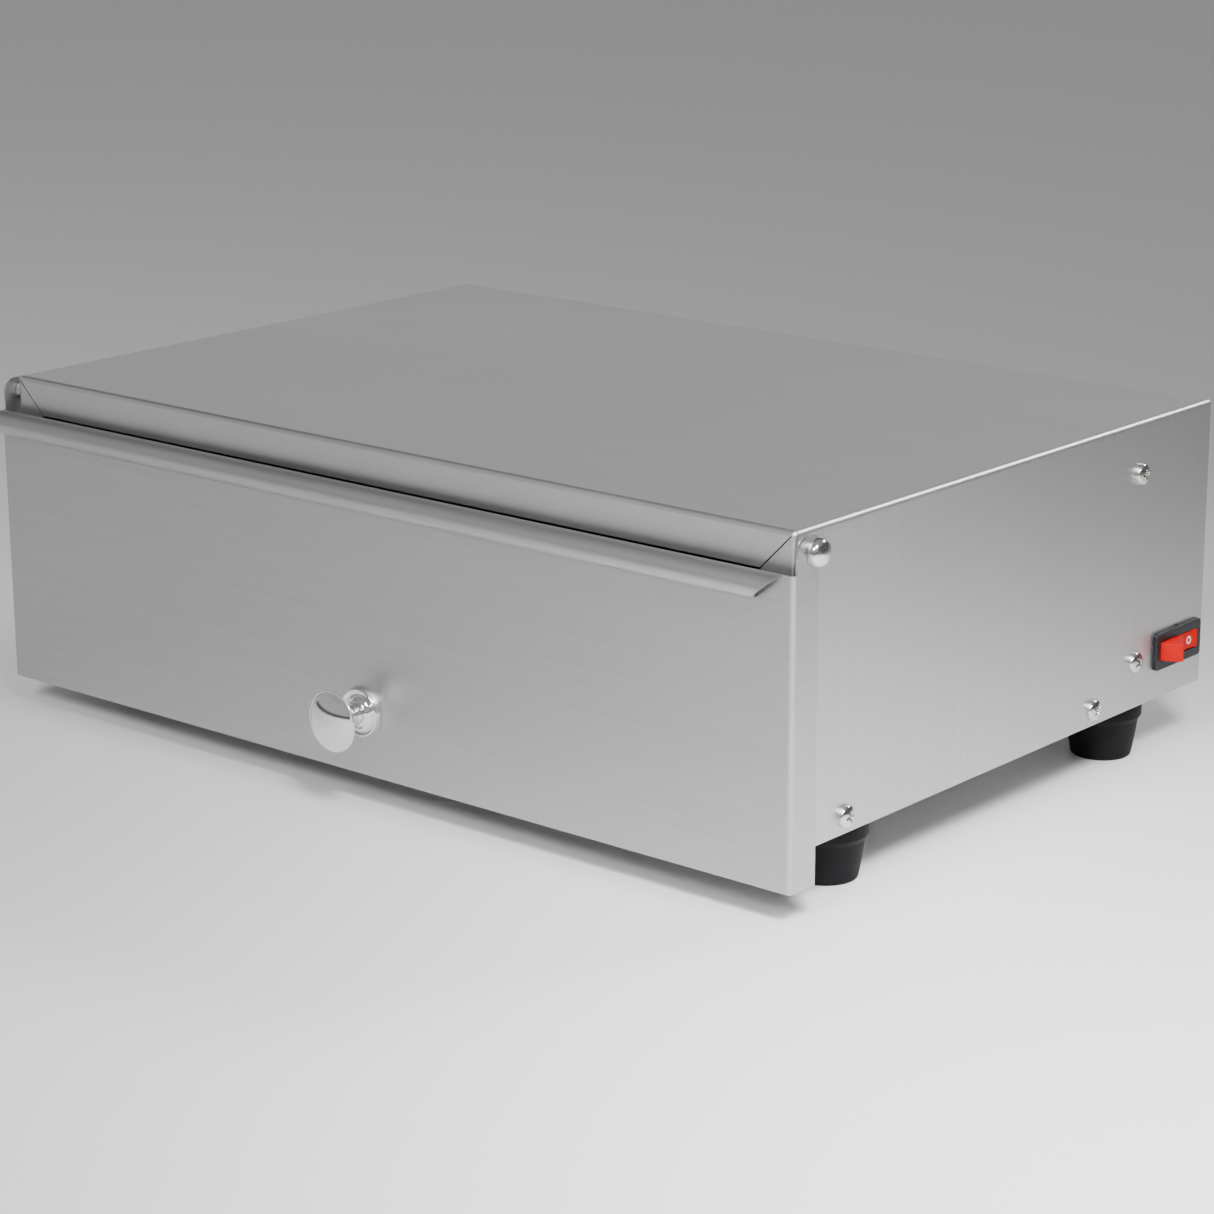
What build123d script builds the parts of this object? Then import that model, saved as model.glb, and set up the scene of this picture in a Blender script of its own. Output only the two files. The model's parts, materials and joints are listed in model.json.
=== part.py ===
from build123d import *
import math
import os

# Heated bun cabinet with a flip-up front door.
# X runs to the right, Y to the back, Z up. The feet stand on Z = 0 and the
# origin is the middle of the whole outline, knob and cable gland included.

# ---- cabinet sheet metal ----
body_width = 420.0        # across the outside of the two side walls
body_depth = 284.0        # front returns to rear returns
body_height = 121.0       # lower edge of the side walls to the top
sheet = 0.8               # all cabinet and door sheets
bend_radius = 2.0         # outside radius of every fold
front_return = 15.5       # folded-in edge around the front opening
rear_return = 12.0        # folded-in edge around the rear opening
mitre_gap = 0.5
seat_gap = 0.2            # between sheets of the cabinet that lie side by side

# ---- feet ----
foot_height = 26.0
foot_top_radius = 16.4
foot_bottom_radius = 12.7
foot_collar_height = 10.0
foot_collar_step = 1.2
foot_collar_slope = 2.0   # height over which the collar widens
foot_inset_x = 21.0       # foot centre in from the outside of the side wall
foot_front_y = 48.5       # front foot centres behind the front returns
foot_from_rear = 43.2     # rear foot centres in front of the rear returns
foot_edge_round = 1.2
foot_bore_radius = 7.0
foot_bore_depth = 17.0
foot_screw_radius = 2.4
foot_screw_head_radius = 4.6
foot_screw_head_height = 2.8
foot_washer_play = 0.6    # washer's edge to the wall of the bore
foot_washer_thickness = 1.2
foot_nut_radius = 4.6
foot_nut_height = 4.0

# ---- screws through the side walls ----
screw_head_radius = 4.4
screw_head_height = 3.1
screw_shank_radius = 2.4
screw_length = 9.0
screw_hole_clearance = 0.1
screw_end = 1.0           # thread that stands out past a nut
head_round = 0.6          # pan head's rounding, as a share of the head's height
recess_reach = 0.5        # cross recess, as shares of the head's radius and height
recess_half_width = 0.12
recess_floor = 0.45
side_screw_low = 7.0      # height of the pan screws above the wall's lower edge
pan_screw_front_y = 31.5
pan_screw_rear_gap = 23.0  # rear pan screw in front of the divider
wall_screw_setback = 7.5  # divider screws behind the divider's front face
wall_screw_low = 20.0     # lower divider screw above the wall's lower edge
wall_screw_drop = 21.7    # upper divider screw below the cabinet top

# ---- base pan, divider, rear panel ----
pan_flange = 16.0
pan_side_gap = 12.0       # pan's side flanges end in front of the divider
compartment_depth = 62.0  # divider's front face to the rear returns
divider_flange = 14.0
rear_panel_margin = 3.0
rear_panel_screw_inset = 6.0
rear_panel_screw_radius = 1.9
rear_panel_screw_head_radius = 3.6
rear_panel_screw_head_height = 2.2
rear_panel_screw_length = 7.0
vent_slot_length = 26.0
vent_slot_width = 3.0
vent_rows = 5
vent_pitch = 8.0
vent_columns = (-120.0, 120.0)

# ---- heating ----
deck_height = 28.0        # above the pan floor
deck_margin_x = 12.0
deck_margin_y = 6.0
deck_hole_radius = 4.0
deck_hole_pitch = 26.0
deck_hole_margin = 20.0   # least plain border around the holes
element_radius = 3.25
element_height = 15.0     # tube centre above the pan floor
element_leg_inset = 80.0  # element legs in from the outside of the side walls
element_front_y = 40.0
element_bend = 30.0
element_tail = 14.0       # length behind the divider
element_pin_radius = 1.5
element_pin_length = 8.0
bushing_radius = 6.5
bushing_thickness = 4.0
support_width = 18.0
support_thickness = 1.5
support_foot = 12.0
support_y = 90.0
fit_clearance = 0.05

# ---- electrical compartment ----
thermostat_x = 60.0
thermostat_radius = 8.0
thermostat_depth = 7.0
thermostat_plate_width = 32.0
thermostat_plate_height = 12.0
thermostat_plate_thickness = 1.0
thermostat_above_floor = 50.0
blade_length = 8.0
blade_width = 4.8
blade_thickness = 0.8
terminal_x = -60.0
terminal_length = 36.0
terminal_width = 16.0
terminal_height = 14.0
terminal_pitch = 11.0
terminal_screw_radius = 2.2
terminal_screw_depth = 5.0
earth_x = -110.0
earth_radius = 2.0
earth_height = 14.0
earth_nut_radius = 4.0
earth_nut_height = 3.2
earth_head_radius = 3.6
earth_head_height = 2.0
terminal_slot_width = 0.6
terminal_slot_depth = 1.0
wire_radius = 1.1
wire_bend = 5.5
wire_rise = 12.0          # height of the wires' cross runs above their terminals
wire_rise_live = 18.0
gland_x = -60.0
gland_above_floor = 62.0
gland_flange_radius = 10.0
gland_reach = 8.0         # how far the gland stands out behind the rear panel
gland_round = 2.6
gland_neck_radius = 7.0
gland_bore_radius = 4.0
gland_neck_length = 14.0
gland_nut_radius = 10.5
gland_nut_thickness = 4.0

# ---- power switch in the right wall ----
switch_rear_gap = 4.6     # rear end of the bezel in front of the rear returns
switch_above_edge = 20.5
bezel_border = 1.8        # bezel past the housing at its two ends
bezel_lip = 1.5           # bezel past the housing above and below
bezel_thickness = 2.0
bezel_corner = 2.0
bezel_edge_round = 0.5
bezel_nub = 1.0
housing_end_wall = 1.2
housing_side_wall = 2.3
housing_depth = 20.0
housing_floor = 4.0
rocker_radius = 14.2      # its two ends are arcs about the rocker's axis
rocker_width = 7.8
rocker_clearance = 0.3
rocker_axis_sink = 2.5    # axis below the bezel's face
rocker_tip_angle = 30.5   # both tips above the axis, when level
rocker_skirt_angle = 18.0
rocker_valley = 3.4       # valley of the face above the axis
rocker_tilt = 18.0        # each way from level
rocker_pin_radius = 1.2
rocker_pin_length = 1.2
rocker_pin_clearance = 0.05
switch_blade_pitch = 9.0

# ---- door ----
door_reach = 6.4          # face of the door in front of the front returns
door_side_gap = 3.4       # side wall to the inside of the door's flange
door_flange = 14.7        # depth of the flange from the door's face
door_hang = 12.5          # door below the lower edge of the side walls
door_top_drop = 14.5      # top edge of the door's face below the cabinet top
ear_drop = 1.5            # top of the ears below the cabinet top
ear_front_radius = 6.4
ear_rear_radius = 2.0
lip_radius = 5.3
lip_right_inset = 5.0     # lip ends inside the door's right edge
lip_right_taper = 12.5    # and is cut back further towards its free edge
lip_left_inset = 0.8      # the left end is cut square
lip_gap = 0.4
pivot_y = 6.0             # pivot behind the front returns
pivot_drop = 7.6          # pivot below the cabinet top
pivot_radius = 2.5
pivot_running_clearance = 0.06
pivot_side_play = 0.2
pivot_head_radius = 5.4
pivot_head_height = 4.2
pivot_head_round = 3.8
pivot_washer_radius = 5.0
pivot_washer_thickness = 0.8
pivot_spacer_radius = 4.6
pivot_nut_radius = 4.3
pivot_nut_thickness = 4.0
bumper_radius = 4.0
bumper_above_edge = 26.0
bumper_gap = 0.3

# ---- knob ----
knob_above_edge = 13.8
knob_reach = 21.0
knob_head_radius = 12.5
knob_head_thickness = 8.0
knob_dome_height = 3.9     # from the widest ring to the top
knob_neck_radius = 4.6
knob_flare_radius = 6.2
knob_under_rim_radius = 11.9
knob_shoulder_radius = 12.1
knob_rim_step = 0.5        # both edges of the rim away from its widest ring
rosette_radius = 10.4
rosette_step_radius = 8.9
rosette_top_radius = 5.6
rosette_thickness = 4.0
knob_screw_radius = 2.0
knob_screw_depth = 12.0
knob_screw_end_gap = 2.0  # left free at the bottom of the knob's bore
knob_screw_head_radius = 4.0
knob_screw_head_height = 2.2
knob_washer_radius = 5.0
knob_washer_thickness = 0.6

# ---- places that follow from the sizes above ----
front_y = (door_reach + knob_reach - body_depth - sheet - gland_reach) / 2
rear_y = front_y + body_depth
bottom_z = foot_height
top_z = bottom_z + body_height
side_x = body_width / 2
floor_z = bottom_z + sheet
inner_x = side_x - sheet - seat_gap
divider_front = rear_y - compartment_depth
divider_back = divider_front + sheet
face_y = front_y - door_reach
ear_x = side_x + door_side_gap
door_x = ear_x + sheet
door_bottom = bottom_z - door_hang
door_top = top_z - door_top_drop
pivot_at_y = front_y + pivot_y
pivot_z = top_z - pivot_drop
spacer_length = door_side_gap - pivot_side_play
washer_x = door_x + pivot_side_play
knob_z = bottom_z + knob_above_edge
housing_length = 2 * (rocker_radius + rocker_clearance + housing_end_wall)
housing_height = rocker_width + 2 * (rocker_clearance + housing_side_wall)
bezel_length = housing_length + 2 * bezel_border
switch_at_y = rear_y - switch_rear_gap - bezel_length / 2
rocker_pin_span = rocker_width + 2 * (rocker_clearance + rocker_pin_length)
bezel_height = housing_height + 2 * bezel_lip
switch_z = bottom_z + switch_above_edge
rocker_axis_x = side_x + bezel_thickness - rocker_axis_sink
element_z = floor_z + element_height
element_leg_x = side_x - element_leg_inset
element_end_y = divider_back + element_tail
gland_z = floor_z + gland_above_floor
thermostat_z = floor_z + thermostat_above_floor
terminal_y = (divider_back + rear_y) / 2
foot_places = {
    "front_left": (foot_inset_x - side_x, front_y + foot_front_y),
    "front_right": (side_x - foot_inset_x, front_y + foot_front_y),
    "rear_left": (foot_inset_x - side_x, rear_y - foot_from_rear),
    "rear_right": (side_x - foot_inset_x, rear_y - foot_from_rear),
}
side_screw_places = (
    (front_y + pan_screw_front_y, bottom_z + side_screw_low),
    (divider_front - pan_screw_rear_gap, bottom_z + side_screw_low),
    (divider_front + wall_screw_setback, bottom_z + wall_screw_low),
    (divider_front + wall_screw_setback, top_z - wall_screw_drop),
)
rear_screw_places = (
    (rear_panel_screw_inset - side_x, top_z - rear_panel_screw_inset),
    (0.0, top_z - rear_panel_screw_inset),
    (side_x - rear_panel_screw_inset, top_z - rear_panel_screw_inset),
    (rear_panel_screw_inset - side_x, bottom_z + 2 * rear_panel_screw_inset),
    (0.0, bottom_z + 2 * rear_panel_screw_inset),
    (side_x - rear_panel_screw_inset, bottom_z + 2 * rear_panel_screw_inset),
)


# ---- shared shapes ----
def block(x0, x1, y0, y1, z0, z1):
    """Box between two opposite corners."""
    centre = Pos((x0 + x1) / 2, (y0 + y1) / 2, (z0 + z1) / 2)
    return centre * Box(abs(x1 - x0), abs(y1 - y0), abs(z1 - z0))


def place(shape, at, axis):
    """Stand a shape that was made along +Z on a point, along an axis."""
    return Plane(origin=at, z_dir=axis) * shape


def rod(radius, length, at, axis):
    """Cylinder that starts at a point and runs along an axis."""
    upright = Cylinder(radius, length, align=(Align.CENTER, Align.CENTER, Align.MIN))
    return place(upright, at, axis)


def ring(outer, inner, length, at, axis):
    """Washer or sleeve that starts at a point and runs along an axis."""
    overrun = Pos(0, 0, length / 2) * Cylinder(inner, 2 * length)
    upright = Cylinder(outer, length, align=(Align.CENTER, Align.CENTER, Align.MIN))
    return place(upright - overrun, at, axis)


def hex_nut(outer, inner, length, at, axis):
    """Six-sided nut with its corners on a circle."""
    outline = RegularPolygon(outer, 6) - Circle(inner)
    return place(extrude(outline, length), at, axis)


def pan_screw(at, axis, head_radius, head_height, shank_radius, length):
    """Cross-recessed screw whose head seats on a point and faces along an axis."""
    head = Cylinder(head_radius, head_height, align=(Align.CENTER, Align.CENTER, Align.MIN))
    head = fillet(head.edges().group_by(Axis.Z)[-1], head_round * head_height)
    reach = recess_reach * head_radius
    half_width = recess_half_width * head_radius
    recess = block(-reach, reach, -half_width, half_width, recess_floor * head_height, 2 * head_height)
    head = head - recess - Rot(0, 0, 90) * recess
    shank = Pos(0, 0, -length / 2) * Cylinder(shank_radius, length)
    return place(head + shank, at, axis)


def rounded_block(low, high, open_direction, radius):
    """Block with every edge rounded but those of the face that looks along a direction."""
    body = block(low[0], high[0], low[1], high[1], low[2], high[2])
    open_face = body.faces().sort_by(Axis((0, 0, 0), open_direction))[-1]
    folds = [edge for edge in body.edges() if edge not in open_face.edges()]
    return fillet(folds, radius)


def formed_box(low, high, open_direction):
    """Folded sheet box with rounded bends, open on the face that looks along a direction."""
    inner_low = [value + sheet for value in low]
    inner_high = [value - sheet for value in high]
    for i, toward in enumerate(open_direction):
        if toward > 0:
            inner_high[i] = high[i] + sheet
        if toward < 0:
            inner_low[i] = low[i] - sheet
    outer = rounded_block(low, high, open_direction, bend_radius)
    return outer - rounded_block(inner_low, inner_high, open_direction, bend_radius - sheet)


def mirrored(shape):
    """The same piece on the other side of the cabinet."""
    return mirror(shape, about=Plane.YZ)


def tube_along(points, radius, bend):
    """Round tube or wire through points, with tangent bends."""
    path = FilletPolyline(*points, radius=bend)
    section = Plane(origin=path @ 0, z_dir=path % 0) * Circle(radius)
    return sweep(section, path=path)


# ---- cabinet ----
def cover_shell():
    """Top and both side walls in one sheet, with returns at the front and the rear."""
    shell = formed_box((-side_x, front_y, bottom_z), (side_x, rear_y, top_z), (0, 0, -1))
    shell -= block(front_return - side_x, side_x - front_return, front_y - 1, front_y + 2 * bend_radius,
                   bottom_z - 1, top_z - front_return)
    shell -= block(rear_return - side_x, side_x - rear_return, rear_y - 2 * bend_radius, rear_y + 1,
                   bottom_z - 1, top_z - rear_return)
    shell -= corner_mitre(front_y, front_return)
    shell -= corner_mitre(rear_y - sheet, rear_return)
    hole = screw_shank_radius + screw_hole_clearance
    for y, z in side_screw_places:
        shell -= rod(hole, body_width + 2, (-side_x - 1, y, z), (1, 0, 0))
    pivot_hole = pivot_radius + screw_hole_clearance
    shell -= rod(pivot_hole, body_width + 2, (-side_x - 1, pivot_at_y, pivot_z), (1, 0, 0))
    shell -= switch_cutout()
    for x, z in rear_screw_places:
        shell -= rod(rear_panel_screw_radius + screw_hole_clearance, 4 * sheet,
                     (x, rear_y - 2 * sheet, z), (0, 1, 0))
    return shell


def corner_mitre(y, width):
    """Two thin 45 degree cuts where the returns meet at the upper corners."""
    inner_end = width + mitre_gap
    reach = math.sqrt(2) * (inner_end - bend_radius)
    middle = (inner_end + bend_radius) / 2
    cut = Box(reach, 2 * bend_radius, mitre_gap)
    right = Pos(side_x - middle, y + sheet / 2, top_z - middle) * Rot(0, -45, 0) * cut
    return right + mirrored(right)


def switch_cutout():
    """Opening in the right wall for the switch housing."""
    slack = fit_clearance
    return block(side_x - 2 * sheet, side_x + 1,
                 switch_at_y - housing_length / 2 - slack, switch_at_y + housing_length / 2 + slack,
                 switch_z - housing_height / 2 - slack, switch_z + housing_height / 2 + slack)


def base_pan():
    """Floor tray between the side walls."""
    pan = formed_box((-inner_x, front_y + sheet + seat_gap, bottom_z),
                     (inner_x, rear_y, bottom_z + pan_flange), (0, 0, 1))
    side_end = divider_front - pan_side_gap
    for side in (-1, 1):
        pan -= block(side * (inner_x - bend_radius), side * side_x, side_end, rear_y + 1,
                     floor_z + seat_gap, top_z)
        pan -= block(side * (side_x - rear_return - seat_gap), side * side_x,
                     rear_y - sheet - seat_gap, rear_y + 1, bottom_z - 1, top_z)
    for x, y in foot_places.values():
        pan -= rod(foot_screw_radius + screw_hole_clearance, 4 * sheet, (x, y, bottom_z - sheet), (0, 0, 1))
    hole = screw_shank_radius + screw_hole_clearance
    for y, z in side_screw_places[:2]:
        pan -= rod(hole, body_width, (-side_x, y, z), (1, 0, 0))
    pan -= rod(earth_radius + fit_clearance, 4 * sheet, (earth_x, terminal_y, bottom_z - sheet), (0, 0, 1))
    x, z = rear_screw_places[4]
    pan -= rod(rear_panel_screw_radius + screw_hole_clearance, 4 * sheet, (x, rear_y - 2 * sheet, z), (0, 1, 0))
    return pan


def divider():
    """Wall between the warm chamber and the electrical compartment."""
    wall = formed_box((-inner_x, divider_front, floor_z + seat_gap),
                      (inner_x, divider_front + divider_flange, top_z - sheet - seat_gap), (0, 1, 0))
    hole = screw_shank_radius + screw_hole_clearance
    for y, z in side_screw_places[2:]:
        wall -= rod(hole, body_width, (-side_x, y, z), (1, 0, 0))
    for x in (-element_leg_x, element_leg_x):
        wall -= rod(element_radius + fit_clearance, 4 * sheet, (x, divider_front - sheet, element_z), (0, 1, 0))
    return wall


def rear_panel():
    """Flat panel over the rear returns, with vent slots and the cable gland's hole."""
    edge_x = side_x - rear_panel_margin
    panel = block(-edge_x, edge_x, rear_y, rear_y + sheet,
                  bottom_z + rear_panel_margin, top_z - rear_panel_margin)
    through = 4 * sheet
    panel -= rod(gland_neck_radius + fit_clearance, through, (gland_x, rear_y - sheet, gland_z), (0, 1, 0))
    for x, z in rear_screw_places:
        panel -= rod(rear_panel_screw_radius + screw_hole_clearance, through, (x, rear_y - sheet, z), (0, 1, 0))
    for column in vent_columns:
        for row in range(vent_rows):
            z = (bottom_z + top_z) / 2 + (row - (vent_rows - 1) / 2) * vent_pitch
            slot = extrude(SlotOverall(vent_slot_length, vent_slot_width), through)
            panel -= Pos(column, rear_y - sheet, z) * Rot(-90, 0, 0) * slot
    return panel


def deck():
    """Perforated cover over the heating element; the buns stand on it."""
    edge_x = side_x - deck_margin_x
    front = front_y + deck_margin_y
    back = divider_front - deck_margin_y
    plate = formed_box((-edge_x, front, floor_z), (edge_x, back, floor_z + deck_height), (0, 0, -1))
    centre_y = (front + back) / 2
    border = 2 * (deck_hole_margin + deck_hole_radius)
    columns = 1 + int((2 * edge_x - border) / deck_hole_pitch)
    rows = 1 + int((back - front - border) / deck_hole_pitch)
    holes = GridLocations(deck_hole_pitch, deck_hole_pitch, columns, rows)
    drill = Cylinder(deck_hole_radius, 4 * sheet)
    drills = [Pos(0, centre_y, floor_z + deck_height) * spot * drill for spot in holes]
    plate -= Compound(children=drills)
    clearance = element_radius + bushing_radius
    for x in (-element_leg_x, element_leg_x):
        plate -= block(x - clearance, x + clearance, back - bend_radius - sheet, back + 1,
                       floor_z - 1, element_z + clearance)
    return plate


# ---- heating ----
def heating_element():
    """Tubular element: two legs through the divider and one front run."""
    points = [
        (-element_leg_x, element_end_y, element_z),
        (-element_leg_x, front_y + element_front_y, element_z),
        (element_leg_x, front_y + element_front_y, element_z),
        (element_leg_x, element_end_y, element_z),
    ]
    tube = tube_along(points, element_radius, element_bend)
    for x in (-element_leg_x, element_leg_x):
        tube += rod(element_pin_radius, element_pin_length, (x, element_end_y, element_z), (0, 1, 0))
    return tube


def element_bushing(x):
    """Flanged nut that holds one leg of the element to the divider's back."""
    return hex_nut(bushing_radius, element_radius + fit_clearance, bushing_thickness,
                   (x, divider_back, element_z), (0, 1, 0))


def element_support(x):
    """Angle on the pan floor with a hole for one leg of the element."""
    y = front_y + support_y
    top = element_z + element_radius + 2 * support_thickness
    angle = block(x - support_width / 2, x + support_width / 2, y, y + support_thickness, floor_z, top)
    angle += block(x - support_width / 2, x + support_width / 2, y, y + support_foot,
                   floor_z, floor_z + support_thickness)
    return angle - rod(element_radius + fit_clearance, 4 * support_thickness,
                       (x, y - support_thickness, element_z), (0, 1, 0))


def thermostat():
    """Snap disc thermostat flat on the divider's back, with two blades."""
    half_width = thermostat_plate_width / 2
    half_height = thermostat_plate_height / 2
    plate_back = divider_back + thermostat_plate_thickness
    body = block(thermostat_x - half_width, thermostat_x + half_width, divider_back, plate_back,
                 thermostat_z - half_height, thermostat_z + half_height)
    body += rod(thermostat_radius, thermostat_depth, (thermostat_x, plate_back, thermostat_z), (0, 1, 0))
    blade_start = plate_back + thermostat_depth
    for side in (-1, 1):
        x = thermostat_x + side * thermostat_radius / 2
        body += block(x - blade_thickness / 2, x + blade_thickness / 2, blade_start,
                      blade_start + blade_length, thermostat_z - blade_width / 2,
                      thermostat_z + blade_width / 2)
    return body


# ---- wiring ----
def terminal_places():
    """Centres of the three ways of the terminal block."""
    return [terminal_x + step * terminal_pitch for step in (-1, 0, 1)]


def terminal_block():
    """Three-way screw terminal block on the pan floor."""
    body = block(terminal_x - terminal_length / 2, terminal_x + terminal_length / 2,
                 terminal_y - terminal_width / 2, terminal_y + terminal_width / 2,
                 floor_z, floor_z + terminal_height)
    for x in terminal_places():
        body -= rod(terminal_screw_radius + fit_clearance, terminal_screw_depth + 1,
                    (x, terminal_y, floor_z + terminal_height - terminal_screw_depth), (0, 0, 1))
    return body


def terminal_screws():
    """Clamping screws of the terminal block."""
    base = floor_z + terminal_height - terminal_screw_depth
    length = terminal_screw_depth - terminal_slot_depth
    slot = Pos(0, 0, length) * Box(2 * terminal_screw_radius, terminal_slot_width, terminal_slot_depth)
    screw = Pos(0, 0, length / 2) * Cylinder(terminal_screw_radius, length)
    return Compound(children=[Pos(x, terminal_y, base) * (screw - slot) for x in terminal_places()])


def earth_stud():
    """Earthing stud through the pan floor."""
    stud = rod(earth_radius, earth_height, (earth_x, terminal_y, bottom_z), (0, 0, 1))
    head = rod(earth_head_radius, earth_head_height, (earth_x, terminal_y, bottom_z), (0, 0, -1))
    return stud + head


def earth_nut():
    """Nut that clamps the earth wire on its stud."""
    return hex_nut(earth_nut_radius, earth_radius + fit_clearance, earth_nut_height,
                   (earth_x, terminal_y, floor_z), (0, 0, 1))


def wire(points):
    """One insulated wire in the electrical compartment."""
    return tube_along(points, wire_radius, wire_bend)


def wires():
    """The five wires, each from one terminal to the next."""
    touch = wire_radius + fit_clearance
    block_top = floor_z + terminal_height
    entry_y = terminal_y + terminal_width / 2 - 2 * wire_radius
    live, neutral, earth = reversed(terminal_places())
    blade_x = side_x - housing_depth - blade_length - touch
    front_blade_y = switch_at_y - switch_blade_pitch
    rear_blade_y = switch_at_y + switch_blade_pitch
    disc_back = divider_back + thermostat_plate_thickness + thermostat_depth + blade_length + touch
    disc_left = thermostat_x - thermostat_radius / 2
    disc_right = thermostat_x + thermostat_radius / 2
    pin_back = element_end_y + element_pin_length + touch
    live_run = switch_z + wire_rise_live
    switched_run = thermostat_z + wire_rise
    heater_run = element_z + wire_rise
    neutral_run = block_top + wire_rise
    return {
        "wire_live": wire([
            (live, entry_y, block_top), (live, entry_y, live_run),
            (blade_x, rear_blade_y, live_run), (blade_x, rear_blade_y, switch_z)]),
        "wire_switched": wire([
            (blade_x, front_blade_y, switch_z), (blade_x, front_blade_y, switched_run),
            (disc_right, disc_back, switched_run), (disc_right, disc_back, thermostat_z)]),
        "wire_heater_live": wire([
            (disc_left, disc_back, thermostat_z), (disc_left, disc_back, heater_run),
            (element_leg_x, pin_back, heater_run), (element_leg_x, pin_back, element_z)]),
        "wire_heater_neutral": wire([
            (neutral, entry_y, block_top), (neutral, entry_y, neutral_run),
            (-element_leg_x, pin_back, neutral_run), (-element_leg_x, pin_back, element_z)]),
        "wire_earth": wire([
            (earth, entry_y, block_top), (earth, entry_y, neutral_run),
            (earth_x, terminal_y, neutral_run), (earth_x, terminal_y, bottom_z + earth_height)]),
    }


def cable_gland():
    """Gland in the rear panel that a supply cord would pass through."""
    outer = rear_y + sheet
    body = rod(gland_flange_radius, gland_reach, (gland_x, outer, gland_z), (0, 1, 0))
    body = fillet(body.edges().group_by(Axis.Y)[-1], gland_round)
    body += rod(gland_neck_radius, gland_neck_length, (gland_x, outer, gland_z), (0, -1, 0))
    return body - rod(gland_bore_radius, 2 * (gland_neck_length + gland_reach),
                      (gland_x, outer - gland_neck_length - gland_reach, gland_z), (0, 1, 0))


def gland_nut():
    """Lock nut of the gland, inside the rear panel."""
    return hex_nut(gland_nut_radius, gland_neck_radius + fit_clearance, gland_nut_thickness,
                   (gland_x, rear_y, gland_z), (0, -1, 0))


# ---- feet ----
def foot(x, y):
    """Tapered rubber foot with a collar and a deep bore for its screw."""
    cone_height = foot_height - foot_collar_height
    cone_top = foot_top_radius - foot_collar_step
    cone = Pos(0, 0, cone_height / 2) * Cone(foot_bottom_radius, cone_top, cone_height)
    cone = fillet(cone.edges().group_by(Axis.Z)[0], foot_edge_round)
    slope = Pos(0, 0, cone_height + foot_collar_slope / 2) * Cone(cone_top, foot_top_radius, foot_collar_slope)
    band = foot_collar_height - foot_collar_slope
    collar = slope + Pos(0, 0, foot_height - band / 2) * Cylinder(foot_top_radius, band)
    bore = Pos(0, 0, foot_bore_depth / 2) * Cylinder(foot_bore_radius, foot_bore_depth)
    hole = Pos(0, 0, foot_height) * Cylinder(foot_screw_radius + screw_hole_clearance, 2 * foot_height)
    return Pos(x, y, 0) * (cone + collar - bore - hole)


def foot_screws():
    """Screws that hold the feet, with their heads deep in the bores."""
    seat = foot_bore_depth - foot_washer_thickness
    length = foot_height - seat + sheet + foot_nut_height + screw_end
    screw = pan_screw((0, 0, 0), (0, 0, -1), foot_screw_head_radius, foot_screw_head_height,
                      foot_screw_radius, length)
    return Compound(children=[Pos(x, y, seat) * screw for x, y in foot_places.values()])


def foot_washers():
    """Washers between each screw head and the rubber."""
    washer = ring(foot_bore_radius - foot_washer_play, foot_screw_radius + screw_hole_clearance, foot_washer_thickness,
                  (0, 0, foot_bore_depth), (0, 0, -1))
    return Compound(children=[Pos(x, y, 0) * washer for x, y in foot_places.values()])


def foot_nuts():
    """Nuts of the foot screws, on the pan floor."""
    nut = hex_nut(foot_nut_radius, foot_screw_radius + fit_clearance, foot_nut_height,
                  (0, 0, floor_z), (0, 0, 1))
    return Compound(children=[Pos(x, y, 0) * nut for x, y in foot_places.values()])


# ---- screws ----
def side_screws():
    """The four screws of the right side wall."""
    screws = [
        pan_screw((side_x, y, z), (1, 0, 0), screw_head_radius, screw_head_height,
                  screw_shank_radius, screw_length)
        for y, z in side_screw_places
    ]
    return Compound(children=screws)


def rear_panel_screws():
    """Screws of the rear panel."""
    screws = [
        pan_screw((x, rear_y + sheet, z), (0, 1, 0), rear_panel_screw_head_radius,
                  rear_panel_screw_head_height, rear_panel_screw_radius, rear_panel_screw_length)
        for x, z in rear_screw_places
    ]
    return Compound(children=screws)


# ---- door pivots ----
def pivot_screw():
    """Domed shoulder screw of the right pivot."""
    inside = washer_x + pivot_washer_thickness - side_x + sheet + pivot_nut_thickness + screw_end
    head = Cylinder(pivot_head_radius, pivot_head_height, align=(Align.CENTER, Align.CENTER, Align.MIN))
    head = fillet(head.edges().group_by(Axis.Z)[-1], pivot_head_round)
    shank = Pos(0, 0, -inside / 2) * Cylinder(pivot_radius, inside)
    return place(head + shank, (washer_x + pivot_washer_thickness, pivot_at_y, pivot_z), (1, 0, 0))


def pivot_washer():
    """Washer between the ear of the door and the screw's head."""
    return ring(pivot_washer_radius, pivot_radius + fit_clearance, pivot_washer_thickness,
                (washer_x, pivot_at_y, pivot_z), (1, 0, 0))


def pivot_spacer():
    """Sleeve that holds the ear of the door clear of the side wall."""
    return ring(pivot_spacer_radius, pivot_radius + fit_clearance, spacer_length,
                (side_x, pivot_at_y, pivot_z), (1, 0, 0))


def pivot_nut():
    """Nut of the pivot screw, inside the side wall."""
    return hex_nut(pivot_nut_radius, pivot_radius + fit_clearance, pivot_nut_thickness,
                   (side_x - sheet, pivot_at_y, pivot_z), (-1, 0, 0))


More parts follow.
